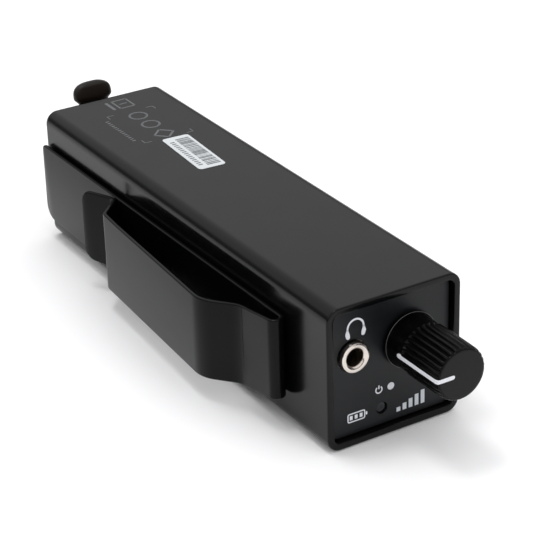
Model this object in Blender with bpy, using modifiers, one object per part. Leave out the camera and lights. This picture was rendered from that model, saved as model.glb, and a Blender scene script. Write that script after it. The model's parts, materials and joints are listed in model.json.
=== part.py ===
"""Belt-worn headphone amplifier: a square aluminium sleeve with a knob and headphone socket at the
front, a combined microphone and line socket at the rear, and a spring clip on its left side.

Helpers take millimetres and build in metres. +X is right, -Y is the knob end, +Z is up.
"""
import math

import bmesh
import bpy

MM = 0.001

# Sleeve
WIDTH = 29.5
HEIGHT = 29.5
LENGTH = 113.5
CORNER = 2.7
WALL = 1.45
RECESS = 1.3
PANEL_THICK = 1.5
PANEL_SIDE = 26.0
GAP = 0.3

# Front controls, measured from the sleeve's own centre line
CONTROL_Z = 18.3
JACK_X = -8.55
KNOB_X = 3.7
KNOB_LENGTH = 16.2
KNOB_BASE = 0.55
LED_X = -2.05
LED_Z = 5.1

# Belt clip, a bent strip
STRIP = 0.9
CLIP_LOW = 4.8
CLIP_HIGH = 21.8
CLIP_CORNER = 2.6
CLIP_PEAK = 9.1
HAIRPIN_Y = -41.4
HAIRPIN_RADIUS = 1.0

# Battery bay and its door
CELL_RADIUS = 5.25
CELL_LENGTH = 44.5
TRAY_FRONT = -33.5
TRAY_REAR = 18.5
DOOR_THICK = 1.2
HATCH_FRONT = -38.3
HATCH_REAR = 18.0
HATCH_LOW = 3.9
HATCH_HIGH = 25.7

# Rear socket
SOCKET_Z = 14.3
SOCKET_BORE = 9.7
INSERT_RADIUS = 7.8
PLUG_BORE = 3.4
LEVER_PIN_Y = 40.0
LEVER_PIN_Z = 25.6
PAD_REAR = 64.0

# Where the sleeve's centre lies once the whole object's box is centred on the origin
FRONT = -LENGTH / 2
REAR = LENGTH / 2
PANEL_FACE = FRONT + RECESS
REAR_PANEL_FACE = REAR - RECESS
KNOB_TIP = PANEL_FACE - KNOB_BASE - KNOB_LENGTH
OFFSET_X = CLIP_PEAK / 2 + 0.05
OFFSET_Y = -(KNOB_TIP - 0.12 + PAD_REAR) / 2

FACING = {
    "front": (math.pi / 2, 0, 0),
    "rear": (-math.pi / 2, 0, 0),
    "left": (0, -math.pi / 2, 0),
    "right": (0, math.pi / 2, 0),
    "up": (0, 0, 0),
}


def clear_scene():
    for obj in list(bpy.data.objects):
        bpy.data.objects.remove(obj, do_unlink=True)


def new_collection(name):
    collection = bpy.data.collections.new(name)
    bpy.context.scene.collection.children.link(collection)
    return collection


def new_material(name, color, roughness, metallic=0.0):
    material = bpy.data.materials.new(name)
    material.use_nodes = True
    shader = material.node_tree.nodes["Principled BSDF"]
    shader.inputs["Base Color"].default_value = (*color, 1.0)
    shader.inputs["Roughness"].default_value = roughness
    shader.inputs["Metallic"].default_value = metallic
    return material


clear_scene()
PARTS = new_collection("headphone_amplifier")
CUTTERS = new_collection("cutters")
MATERIALS = {
    "anodised": new_material("anodised", (0.018, 0.018, 0.02), 0.32, 0.6),
    "panel": new_material("panel", (0.012, 0.012, 0.013), 0.45, 0.5),
    "clip_steel": new_material("clip_steel", (0.015, 0.015, 0.016), 0.35, 0.6),
    "knob": new_material("knob", (0.02, 0.02, 0.021), 0.55),
    "pointer": new_material("pointer", (0.85, 0.86, 0.87), 0.5),
    "nickel": new_material("nickel", (0.75, 0.72, 0.68), 0.2, 1.0),
    "steel": new_material("steel", (0.55, 0.55, 0.56), 0.35, 1.0),
    "black_steel": new_material("black_steel", (0.03, 0.03, 0.03), 0.4, 0.8),
    "contact": new_material("contact", (0.8, 0.62, 0.3), 0.3, 1.0),
    "plastic": new_material("plastic", (0.02, 0.02, 0.02), 0.5),
    "board": new_material("board", (0.02, 0.12, 0.06), 0.45),
    "can": new_material("can", (0.6, 0.6, 0.62), 0.3, 1.0),
    "cell": new_material("cell", (0.1, 0.11, 0.12), 0.3, 0.4),
    "lens": new_material("lens", (0.05, 0.03, 0.03), 0.15),
    "label": new_material("label", (0.85, 0.85, 0.83), 0.7),
    "red_lead": new_material("red_lead", (0.5, 0.03, 0.03), 0.5),
    "black_lead": new_material("black_lead", (0.03, 0.03, 0.03), 0.5),
}


def place(obj, centre):
    """Puts an object at a point given in millimetres from the sleeve's centre line."""
    x, y, z = centre
    obj.location = ((x + OFFSET_X) * MM, (y + OFFSET_Y) * MM, z * MM)


def add_object(name, data, centre, material, rotation=(0, 0, 0)):
    obj = bpy.data.objects.new(name, data)
    place(obj, centre)
    obj.rotation_euler = rotation
    if material:
        PARTS.objects.link(obj)
        data.materials.append(MATERIALS[material])
    else:
        CUTTERS.objects.link(obj)
        obj.display_type = "WIRE"
        obj.hide_render = True
    return obj


def shade(mesh, angle=35):
    mesh.shade_smooth()
    mesh.set_sharp_from_angle(angle=math.radians(angle))


def block(name, low, high, material=None, axis=None, radius=0.0, steps=3):
    """A box between two corners; edges along one axis may be rounded."""
    size = [high[i] - low[i] for i in range(3)]
    centre = [(high[i] + low[i]) / 2 for i in range(3)]
    bm = bmesh.new()
    bmesh.ops.create_cube(bm, size=1.0)
    bmesh.ops.scale(bm, vec=[s * MM for s in size], verts=bm.verts)
    if axis:
        along = "XYZ".index(axis)
        edges = []
        for edge in bm.edges:
            direction = (edge.verts[0].co - edge.verts[1].co).normalized()
            if abs(direction[along]) > 0.9:
                edges.append(edge)
        bmesh.ops.bevel(bm, geom=edges, offset=radius * MM, segments=steps, profile=0.5, affect="EDGES")
    mesh = bpy.data.meshes.new(name)
    bm.to_mesh(mesh)
    bm.free()
    if axis:
        shade(mesh)
    return add_object(name, mesh, centre, material)


def turned(name, profile, base, facing, material=None, steps=32, closed=False):
    """A turned shape. The profile holds (radius, height) pairs down its outer side."""
    mesh = bpy.data.meshes.new(name)
    points = [(radius * MM, 0.0, height * MM) for radius, height in profile]
    edges = [(i, i + 1) for i in range(len(points) - 1)]
    if closed:
        edges.append((len(points) - 1, 0))
    mesh.from_pydata(points, edges, [])
    obj = add_object(name, mesh, base, material, FACING[facing])
    screw = obj.modifiers.new("turn", "SCREW")
    screw.axis = "Z"
    screw.angle = 2 * math.pi
    screw.steps = steps
    screw.render_steps = steps
    screw.use_merge_vertices = True
    screw.merge_threshold = 1e-6
    return obj


def rod(name, radius, length, base, facing, material=None, steps=24):
    profile = [(0, length), (radius, length), (radius, 0), (0, 0)]
    return turned(name, profile, base, facing, material, steps)


def pipe(name, outer, inner, length, base, facing, material=None, steps=24):
    profile = [(inner, length), (outer, length), (outer, 0), (inner, 0)]
    return turned(name, profile, base, facing, material, steps, closed=True)


def boolean(target, tool, operation="DIFFERENCE"):
    modifier = target.modifiers.new(tool.name, "BOOLEAN")
    modifier.operation = operation
    modifier.solver = "EXACT"
    modifier.object = tool


def wire(name, points, radius, material):
    """A round wire through points given from the sleeve's centre line."""
    curve = bpy.data.curves.new(name, "CURVE")
    curve.dimensions = "3D"
    curve.bevel_depth = radius * MM
    curve.bevel_resolution = 2
    curve.use_fill_caps = True
    spline = curve.splines.new("POLY")
    spline.points.add(len(points) - 1)
    for target, point in zip(spline.points, points):
        target.co = (point[0] * MM, point[1] * MM, point[2] * MM, 1.0)
    return add_object(name, curve, (0, 0, 0), material)


def smooth_route(points, steps=5):
    """Points along a curve that passes smoothly through a few chosen ones."""
    padded = [points[0]] + list(points) + [points[-1]]
    route = []
    for i in range(1, len(padded) - 2):
        before, start, end, after = padded[i - 1:i + 3]
        for k in range(steps):
            t = k / steps
            route.append([
                0.5 * (2 * b + (c - a) * t + (2 * a - 5 * b + 4 * c - d) * t * t
                       + (3 * b - a - 3 * c + d) * t ** 3)
                for a, b, c, d in zip(before, start, end, after)
            ])
    route.append(list(points[-1]))
    return route


def rounded_path(corners, steps=5):
    """A flat path through corners (x, y, radius), each rounded by an arc of its radius."""
    path = [corners[0][:2]]
    for i in range(1, len(corners) - 1):
        px, py = corners[i - 1][:2]
        x, y, radius = corners[i]
        nx, ny = corners[i + 1][:2]
        into = math.atan2(y - py, x - px)
        out = math.atan2(ny - y, nx - x)
        turn = (out - into + math.pi) % (2 * math.pi) - math.pi
        reach = radius * math.tan(abs(turn) / 2)
        side = math.copysign(1, turn)
        start = (x - reach * math.cos(into), y - reach * math.sin(into))
        centre = (start[0] - side * radius * math.sin(into), start[1] + side * radius * math.cos(into))
        for k in range(steps + 1):
            angle = into + turn * k / steps
            path.append((centre[0] + side * radius * math.sin(angle), centre[1] - side * radius * math.cos(angle)))
    path.append(corners[-1][:2])
    return path


def strip_outline(path, thickness):
    """The closed outline of a strip of even thickness along a flat path."""
    left = []
    right = []
    for i, (x, y) in enumerate(path):
        ahead = path[min(i + 1, len(path) - 1)]
        behind = path[max(i - 1, 0)]
        angle = math.atan2(ahead[1] - behind[1], ahead[0] - behind[0])
        half = thickness / 2
        left.append((x - half * math.sin(angle), y + half * math.cos(angle)))
        right.append((x + half * math.sin(angle), y - half * math.cos(angle)))
    return left + right[::-1]


def extruded(name, outline, low, high, material=None):
    """A flat outline in X and Y, extruded in Z between two heights."""
    curve = bpy.data.curves.new(name, "CURVE")
    curve.dimensions = "2D"
    curve.fill_mode = "BOTH"
    curve.extrude = (high - low) / 2 * MM
    spline = curve.splines.new("POLY")
    spline.points.add(len(outline) - 1)
    for target, (x, y) in zip(spline.points, outline):
        target.co = (x * MM, y * MM, 0.0, 1.0)
    spline.use_cyclic_u = True
    source = bpy.data.objects.new(name + "_outline", curve)
    CUTTERS.objects.link(source)
    bpy.context.view_layer.update()
    evaluated = source.evaluated_get(bpy.context.evaluated_depsgraph_get())
    mesh = bpy.data.meshes.new_from_object(evaluated)
    mesh.name = name
    bpy.data.objects.remove(source, do_unlink=True)
    bm = bmesh.new()
    bm.from_mesh(mesh)
    bmesh.ops.remove_doubles(bm, verts=bm.verts, dist=1e-6)
    bmesh.ops.recalc_face_normals(bm, faces=bm.faces)
    bm.to_mesh(mesh)
    bm.free()
    mesh.materials.clear()
    return add_object(name, mesh, (0, 0, (high + low) / 2), material)


def pivot(name, point, pieces):
    """An empty on a joint's axis, which carries the pieces that move on it."""
    empty = bpy.data.objects.new(name, None)
    PARTS.objects.link(empty)
    place(empty, point)
    for piece in pieces:
        piece.location = piece.location - empty.location
        piece.parent = empty
    return empty


# Case

def make_sleeve():
    half = WIDTH / 2
    sleeve = block("sleeve", (-half, FRONT, 0), (half, REAR, HEIGHT), "anodised", "Y", CORNER, 6)
    inside = block("sleeve_inside", (-half + WALL, FRONT - 5, WALL), (half - WALL, REAR + 5, HEIGHT - WALL),
                   None, "Y", CORNER - WALL, 4)
    hatch = block("hatch_cut", (half - 4, HATCH_FRONT, HATCH_LOW), (half + 4, HATCH_REAR, HATCH_HIGH))
    boolean(sleeve, inside)
    boolean(sleeve, hatch)
    for i, y in enumerate(CLIP_SCREWS):
        boolean(sleeve, rod(f"clip_hole_{i}", 1.3, 5, (-half + 3, y, CLIP_MIDDLE), "left", steps=16))


def make_front_panel():
    half = PANEL_SIDE / 2
    middle = HEIGHT / 2
    panel = block("front_panel", (-half, PANEL_FACE, middle - half),
                  (half, PANEL_FACE + PANEL_THICK, middle + half), "panel", "Y", 1.0)
    back = PANEL_FACE + PANEL_THICK + 1
    boolean(panel, rod("jack_hole", 3.3, 5, (JACK_X, back, CONTROL_Z), "front"))
    boolean(panel, rod("pot_hole", 3.8, 5, (KNOB_X, back, CONTROL_Z), "front"))
    boolean(panel, rod("led_hole", 1.25, 5, (LED_X, back, LED_Z), "front", steps=16))


def make_rear_panel():
    half = PANEL_SIDE / 2
    middle = HEIGHT / 2
    face = REAR_PANEL_FACE
    panel = block("rear_panel", (-half, face - PANEL_THICK, middle - half), (half, face, middle + half),
                  "panel", "Y", 1.0)
    front = face - PANEL_THICK - 1
    boolean(panel, rod("socket_hole", 11.3, 5, (0, front, SOCKET_Z), "rear", steps=40))
    boolean(panel, block("lever_slot", (-4.6, front, 22.4), (4.6, face + 1, HEIGHT)))
    for i, (x, z) in enumerate(PANEL_SCREWS):
        boolean(panel, rod(f"panel_hole_{i}", 1.3, 5, (x, front, z), "rear", steps=16))


# Headphone socket

def make_headphone_jack():
    back = PANEL_FACE + PANEL_THICK + GAP
    body = block("headphone_jack_body", (JACK_X - 4.4, back + 0.7, CONTROL_Z - 4.9),
                 (JACK_X + 4.4, back + 13.2, CONTROL_Z + 4.9), "plastic", "Y", 0.8, 2)
    boolean(body, rod("jack_body_bore", 2.2, 12, (JACK_X, back + 11.5, CONTROL_Z), "front", steps=20))
    outline = [(1.85, 3.6), (2.8, 3.6), (3.0, 3.4), (3.0, 0.5), (4.2, 0.5), (4.2, 0.0), (1.85, 0.0)]
    turned("headphone_jack_bush", outline, (JACK_X, back + 0.5, CONTROL_Z), "front", "nickel", 28, True)


def make_jack_springs():
    """Two leaf contacts that lie along the jack's bore, in its lower and upper half."""
    back = PANEL_FACE + PANEL_THICK + GAP
    for name, start, side in (("jack_tip_contact", 9.5, -1), ("jack_ring_contact", 5.5, 1)):
        z = CONTROL_Z + side * 1.55
        block(name, (JACK_X - 0.6, back + start - 2.5, z - 0.15), (JACK_X + 0.6, back + start, z + 0.15),
              "contact")


# Volume control

def make_volume_control():
    panel_back = PANEL_FACE + PANEL_THICK
    block("volume_pot_body", (KNOB_X - 5.4, panel_back + 0.4, CONTROL_Z - 5.0),
          (KNOB_X + 5.4, panel_back + 10.5, CONTROL_Z + 5.2), "steel", "Y", 0.6, 2)
    bushing_tip = PANEL_FACE - 2.3
    pipe("volume_pot_bushing", 3.45, 3.15, panel_back - bushing_tip, (KNOB_X, panel_back + 0.1, CONTROL_Z),
         "front", "black_steel", 28)
    pipe("volume_pot_washer", 4.5, 3.7, 0.25, (KNOB_X, PANEL_FACE - 0.1, CONTROL_Z), "front", "black_steel", 28)
    nut = rod("volume_pot_nut", 4.8, 1.3, (KNOB_X, PANEL_FACE - 0.6, CONTROL_Z), "front", "black_steel", 6)
    nut.modifiers["turn"].use_smooth_shade = False
    boolean(nut, rod("nut_bore", 3.7, 5, (KNOB_X, PANEL_FACE + 1, CONTROL_Z), "front"))
    shaft = rod("volume_shaft", 2.85, 12.2, (KNOB_X, panel_back + 0.05, CONTROL_Z), "front", "steel", 24)
    knob = make_knob()
    pointer = make_pointer()
    pivot("volume_axis", (KNOB_X, PANEL_FACE, CONTROL_Z), [shaft, knob, pointer])


def make_knob():
    top = KNOB_LENGTH
    profile = [
        (0, top), (5.05, top), (5.45, top - 0.4), (5.45, 5.0), (5.2, 4.8), (5.25, 4.4),
        (5.65, 0.75), (5.65, 0), (5.3, 0), (5.3, 2.6), (3.15, 2.6), (3.15, 12.5), (0, 12.5),
    ]
    return turned("volume_knob", profile, (KNOB_X, PANEL_FACE - KNOB_BASE, CONTROL_Z), "front", "knob", 40)


def make_pointer():
    """The white bar inlaid across the cap; it turns down along the knob's side in the finish."""
    cap = PANEL_FACE - KNOB_BASE - KNOB_LENGTH
    return block("knob_pointer", (KNOB_X - 5.0, cap - 0.12, CONTROL_Z - 0.47),
                 (KNOB_X - 1.4, cap - 0.02, CONTROL_Z + 0.47), "pointer")


# Battery light and boards

def make_battery_light():
    tip = PANEL_FACE + 0.25
    profile = [(0, 5.4), (0.7, 5.3), (0.95, 5.0), (0.95, 3.3), (1.5, 3.3), (1.5, 0), (0, 0)]
    turned("battery_light", profile, (LED_X, tip + 5.4, LED_Z), "front", "lens", 20)


def make_boards():
    inner = WIDTH / 2 - WALL
    board_top = CONTROL_Z - 5.4
    block("front_board", (-inner + 0.5, -53.4, board_top - 1.6), (inner - 0.5, -39.6, board_top), "board")
    block("main_board", (-inner + 0.6, -38.8, 2.6), (-inner + 2.2, 19.0, 26.9), "board")
    face = -inner + 2.2 + GAP
    block("amplifier_chip", (face, -20.5, 10.0), (face + 1.6, -10.5, 20.0), "plastic")
    block("power_coil", (face, -6.5, 5.0), (face + 3.2, -0.5, 11.0), "plastic", "X", 1.2, 3)
    for i, (y, z) in enumerate(((-30.0, 8.0), (-30.0, 20.5), (6.0, 18.0))):
        rod(f"capacitor_{i + 1}", 3.15, 7.2, (face, y, z), "right", "can", 20)


# Battery bay

def make_tray():
    tray = block("battery_tray", (-0.6, TRAY_FRONT, 2.5), (11.3, TRAY_REAR, 27.1), "plastic")
    boolean(tray, block("tray_pocket", (0.6, TRAY_FRONT + 1.2, 3.7), (20, TRAY_REAR - 1.2, 25.9)))


def make_cells():
    """Two cells side by side, pointing opposite ways, with a spring behind each flat end."""
    middle = HEIGHT / 2
    nub = 0.8
    body = CELL_LENGTH - nub
    r = CELL_RADIUS
    profile = [(0, CELL_LENGTH), (1.9, CELL_LENGTH), (1.9, body), (r - 0.3, body), (r, body - 0.3),
               (r, 0.3), (r - 0.3, 0), (0, 0)]
    front = TRAY_FRONT + 2.4
    rear = TRAY_REAR - 2.4
    for name, z, facing, base in (("battery_lower", middle - 5.6, "front", front + CELL_LENGTH),
                                  ("battery_upper", middle + 5.6, "rear", rear - CELL_LENGTH)):
        turned(name, profile, (6.3, base, z), facing, "cell", 28)
    make_spring("battery_spring_rear", (6.3, rear - 0.05, middle - 5.6), -1)
    make_spring("battery_spring_front", (6.3, front + 0.05, middle + 5.6), 1)


def make_spring(name, start, direction):
    """A cone of wire between a contact plate and a cell's flat end."""
    turns = 2.5
    count = 30
    points = []
    for i in range(count + 1):
        t = i / count
        angle = 2 * math.pi * turns * t
        radius = 3.4 - 1.2 * t
        points.append((start[0] + radius * math.cos(angle), start[1] + direction * 2.0 * t,
                       start[2] + radius * math.sin(angle)))
    wire(name, points, 0.25, "contact")


def make_contact_plates():
    middle = HEIGHT / 2
    front = TRAY_FRONT + 1.2 + 0.25
    rear = TRAY_REAR - 1.2 - 0.25
    block("battery_bridge", (1.6, front, middle - 10.0), (11.0, front + 0.35, middle + 10.0), "contact")
    block("battery_contact_lower", (1.6, rear - 0.35, middle - 10.0), (11.0, rear, middle - 1.0), "contact")
    block("battery_contact_upper", (1.6, rear - 0.35, middle + 1.0), (11.0, rear, middle + 10.0), "contact")


def make_door():
    """A flush hatch cover. Two tabs tuck under the wall at its rear end, and it swings on them."""
    outer = WIDTH / 2
    rear = HATCH_REAR - GAP
    door = block("battery_door", (outer - DOOR_THICK, HATCH_FRONT + GAP, HATCH_LOW + GAP),
                 (outer, rear, HATCH_HIGH - GAP), "plastic", "X", 0.8, 3)
    for i, z in enumerate((7.5, 18.6)):
        foot = block(f"door_foot_{i}", (outer - 2.45, rear - 2.0, z), (outer - 0.6, rear - 0.3, z + 3.5))
        tab = block(f"door_tab_{i}", (outer - 2.45, rear - 1.0, z), (outer - 1.8, rear + 1.9, z + 3.5))
        boolean(door, foot, "UNION")
        boolean(door, tab, "UNION")
    grip = block("door_grip", (outer - 0.5, HATCH_FRONT + 2.6, 11.3), (outer + 1, HATCH_FRONT + 4.6, 18.3),
                 None, "X", 0.9, 3)
    boolean(door, grip)
    pivot("door_axis", (outer, HATCH_REAR, HEIGHT / 2), [door])


def make_mode_switch():
    body = block("mode_switch_body", (5.6, -37.8, 10.4), (10.9, -34.3, 19.0), "steel")
    boolean(body, block("mode_slot", (8.6, -36.9, 11.6), (12, -35.2, 17.8)))
    stem = block("mode_switch_slider", (11.2, -37.1, 11.9), (12.9, -35.0, 14.6), "plastic")
    boolean(stem, block("mode_stem", (8.9, -36.6, 12.0), (11.6, -35.5, 14.5)), "UNION")
    pivot("mode_axis", (11.2, -36.05, 13.2), [stem])


# Rear socket

def make_socket():
    back = 30.0
    flange = REAR_PANEL_FACE - PANEL_THICK - GAP
    length = REAR_PANEL_FACE + 0.2 - back
    shoulder = flange - 2.0 - back
    profile = [(SOCKET_BORE, length), (11.0, length), (11.0, flange - back - 0.2), (12.2, flange - back - 0.2),
               (12.2, 0), (4.4, 0), (4.4, 2.0), (SOCKET_BORE, 2.0)]
    shell = turned("socket_shell", profile, (0, back, SOCKET_Z), "rear", "plastic", 40, True)
    ears = block("socket_ears", (-12.7, back + shoulder, HEIGHT / 2 - 12.7), (12.7, flange, HEIGHT / 2 + 12.7))
    boolean(ears, rod("ears_bore", SOCKET_BORE + 1, 40, (0, back + 10, SOCKET_Z), "rear", steps=40))
    boolean(shell, ears, "UNION")
    boolean(shell, block("latch_slot", (-4.6, LEVER_PIN_Y - 2.2, 22.4), (4.6, REAR + 2, HEIGHT)))
    for i, (x, z) in enumerate(PANEL_SCREWS):
        boolean(shell, rod(f"ear_hole_{i}", 1.1, 9, (x, flange - 6, z), "rear", steps=16))


def make_insert():
    """The round core of the socket: a plug bore along its middle and three pin holes around it."""
    back = 33.0
    face = REAR_PANEL_FACE - 0.4
    core = pipe("socket_core", INSERT_RADIUS, PLUG_BORE, face - back, (0, back, SOCKET_Z), "rear", "plastic", 36)
    for i, angle in enumerate(PIN_ANGLES):
        x = 5.5 * math.cos(math.radians(angle))
        z = SOCKET_Z + 5.5 * math.sin(math.radians(angle))
        boolean(core, rod(f"pin_hole_{i}", 1.45, 16, (x, face - 14, z), "rear", steps=16))
        pipe(f"socket_contact_{i + 1}", 1.1, 0.75, 11.0, (x, face - 12.5, z), "rear", "contact", 14)


def make_release_lever():
    """A flat lever on a cross pin, which runs out over the socket and turns up into a thumb pad."""
    half_width = 3.6
    arm_low = LEVER_PIN_Z - 0.6
    corners = [(LEVER_PIN_Y, LEVER_PIN_Z, 0), (60.9, LEVER_PIN_Z + 0.1, 1.6), (62.9, 31.3, 0)]
    path = rounded_path(corners, 4)
    outline = strip_outline(path, 1.2)
    lever = extruded("release_lever", [(y, z) for y, z in outline], -half_width, half_width, "plastic")
    turn_profile_upright(lever)
    barrel = rod("lever_barrel", 1.25, 5.2, (-1.6, LEVER_PIN_Y, LEVER_PIN_Z), "right", steps=20)
    boolean(lever, barrel, "UNION")
    pad = thumb_pad_tool()
    boolean(lever, pad, "UNION")
    boolean(lever, rod("lever_bore", 0.8, 20, (-10, LEVER_PIN_Y, LEVER_PIN_Z), "right", steps=16))
    boolean(lever, block("spring_room", (-5, LEVER_PIN_Y - 3, LEVER_PIN_Z - 3),
                         (-1.75, LEVER_PIN_Y + 2.2, LEVER_PIN_Z + 3)))
    boolean(lever, block("latch_relief", (-5, LEVER_PIN_Y - 3, arm_low - 3), (5, LEVER_PIN_Y - 1.3, HEIGHT)))
    pivot("lever_axis", (0, LEVER_PIN_Y, LEVER_PIN_Z), [lever])
    rod("lever_pin", 0.5, 8.4, (-4.2, LEVER_PIN_Y, LEVER_PIN_Z), "right", "steel", 12)
    make_lever_spring()


def turn_profile_upright(obj):
    """An outline drawn in X and Y becomes one in Y and Z, extruded across X."""
    obj.rotation_euler = (math.pi / 2, 0, math.pi / 2)
    place(obj, (0, 0, 0))


def thumb_pad_tool():
    """The pad's rounded body: a wide block with rounded corners across the lever's end."""
    return block("thumb_pad", (-4.6, 61.4, 27.4), (4.6, PAD_REAR, 31.9), None, "Y", 1.9, 5)


def make_lever_spring():
    """A torsion spring: three turns of wire beside the lever, around its pin."""
    count = 36
    points = []
    for i in range(count + 1):
        t = i / count
        angle = 2 * math.pi * 3 * t
        points.append((-3.9 + 1.9 * t, LEVER_PIN_Y + 1.0 * math.cos(angle), LEVER_PIN_Z + 1.0 * math.sin(angle)))
    wire("lever_spring", points, 0.18, "steel")


def make_panel_screws():
    """Pan-head screws with a cross recess that hold the rear panel to the socket's ears."""
    for i, (x, z) in enumerate(PANEL_SCREWS):
        profile = [(0, 0.9), (1.1, 0.85), (1.75, 0.35), (1.75, 0.15), (0.85, 0.15), (0.85, -5.5), (0, -5.5)]
        screw = turned(f"panel_screw_{i + 1}", profile, (x, REAR_PANEL_FACE, z), "rear", "black_steel", 20)
        cross_recess(screw, f"panel_recess_{i}", (x, REAR_PANEL_FACE + 0.5, z), "Y")


def cross_recess(screw, name, centre, axis):
    """Two crossed slots cut into a screw's head along one axis."""
    x, y, z = centre
    for k, (long, short) in enumerate(((0.95, 0.22), (0.22, 0.95))):
        if axis == "Y":
            low, high = (x - long, y, z - short), (x + long, y + 2, z + short)
        else:
            low, high = (x - 2, y - long, z - short), (x, y + long, z + short)
        boolean(screw, block(f"{name}_{k}", low, high))


# Belt clip

def clip_base_path():
    wall = -WIDTH / 2 - 0.2 - STRIP / 2
    corners = [(wall, REAR - 0.15), (wall, HAIRPIN_Y)]
    loop = []
    for k in range(1, 9):
        angle = -math.pi * k / 8
        loop.append((wall - HAIRPIN_RADIUS + HAIRPIN_RADIUS * math.cos(angle),
                     HAIRPIN_Y + HAIRPIN_RADIUS * math.sin(angle)))
    return corners + loop


def clip_tongue_path():
    wall = -WIDTH / 2 - 0.2 - STRIP / 2
    root = wall - 2 * HAIRPIN_RADIUS
    peak = -WIDTH / 2 - CLIP_PEAK + STRIP / 2
    corners = [
        (root, HAIRPIN_Y + 0.35, 0),
        (root - 0.1, -33.4, 2.2),
        (peak - 0.15, -26.3, 2.2),
        (-21.05, 17.4, 1.1),
        (-16.7, 21.4, 1.6),
        (-20.3, 28.2, 0),
    ]
    return rounded_path(corners, 5)


def round_clip_corners(strip, name, low_y, high_y):
    tool = block(name, (-30, low_y, CLIP_LOW), (-12, high_y, CLIP_HIGH), None, "X", CLIP_CORNER, 5)
    boolean(strip, tool, "INTERSECT")


def make_clip():
    base = extruded("clip_base", strip_outline(clip_base_path(), STRIP), CLIP_LOW - 1, CLIP_HIGH + 1, "clip_steel")
    round_clip_corners(base, "clip_base_shape", HAIRPIN_Y - 20, REAR - 0.15)
    for i, y in enumerate(CLIP_SCREWS):
        sink = turned(f"clip_sink_{i}", [(0, 2.6), (2.9, 2.6), (1.3, 1.0), (1.3, -1), (0, -1)],
                      (-WIDTH / 2, y, CLIP_MIDDLE), "left", steps=20)
        boolean(base, sink)
    tongue = extruded("clip_tongue", strip_outline(clip_tongue_path(), STRIP), CLIP_LOW - 1, CLIP_HIGH + 1,
                      "clip_steel")
    round_clip_corners(tongue, "clip_tongue_shape", HAIRPIN_Y - 20, 28.2)
    wall = -WIDTH / 2 - 0.2 - STRIP / 2
    pivot("clip_axis", (wall - HAIRPIN_RADIUS, HAIRPIN_Y, CLIP_MIDDLE), [tongue])


def make_clip_screws():
    for i, y in enumerate(CLIP_SCREWS):
        profile = [(0, 1.0), (1.15, 1.0), (0.95, 0.75), (0.95, -1.6), (0, -1.6)]
        screw = turned(f"clip_screw_{i + 1}", profile, (-WIDTH / 2, y, CLIP_MIDDLE), "left", "black_steel", 20)
        cross_recess(screw, f"clip_recess_{i}", (-WIDTH / 2 - 0.6, y, CLIP_MIDDLE), "X")


# Label and leads

def make_label():
    """A paper label on top, turned a few degrees from the sleeve's edge."""
    label = block("serial_label", (-1.7, 10.0, HEIGHT + 0.05), (4.5, 28.2, HEIGHT + 0.15), "label", "Z", 0.8, 3)
    label.rotation_euler = (0, 0, math.radians(-3.2))


def make_leads():
    leads = {
        "battery_lead_red": ("red_lead", [(4, 18.9, 20.4), (3.2, 20.6, 20.9), (-2, 22.0, 21.5), (-8, 20.5, 21.5),
                                          (-10.2, 17.0, 21.0), (-10.3, 13.0, 20.5)]),
        "battery_lead_black": ("black_lead", [(4, 18.9, 9.0), (3.2, 20.6, 9.0), (-2, 22.0, 8.4), (-8, 20.5, 8.2),
                                              (-10.2, 17.0, 8.0), (-10.3, 13.0, 8.0)]),
    }
    for name, (material, points) in leads.items():
        wire(name, smooth_route(points, 4), 0.5, material)
    for i, (x, z) in enumerate(((0.0, 7.0), (-6.5, 18.5), (6.5, 18.5))):
        end = 12.5 + 2.0 * i
        points = [(x, 29.6, z), (x, 27.5, z), (x * 0.6 - 4, 25.0, 0.5 * (z + end)), (-10.0, 22.0, end),
                  (-10.4, 17.5, end)]
        wire(f"input_lead_{i + 1}", smooth_route(points, 4), 0.4, "black_lead")


CLIP_MIDDLE = (CLIP_LOW + CLIP_HIGH) / 2
CLIP_SCREWS = (-4.0, -24.0)
PANEL_SCREWS = ((-10.6, 4.0), (10.6, 25.5))
PIN_ANGLES = (140, 40, 270)

make_sleeve()
make_front_panel()
make_rear_panel()
make_headphone_jack()
make_jack_springs()
make_volume_control()
make_battery_light()
make_boards()
make_tray()
make_cells()
make_contact_plates()
make_door()
make_mode_switch()
make_socket()
make_insert()
make_release_lever()
make_panel_screws()
make_clip()
make_clip_screws()
make_label()
make_leads()
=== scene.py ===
import json
import math

import bmesh
import bpy
import numpy as np
from mathutils import Matrix, Vector

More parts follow.
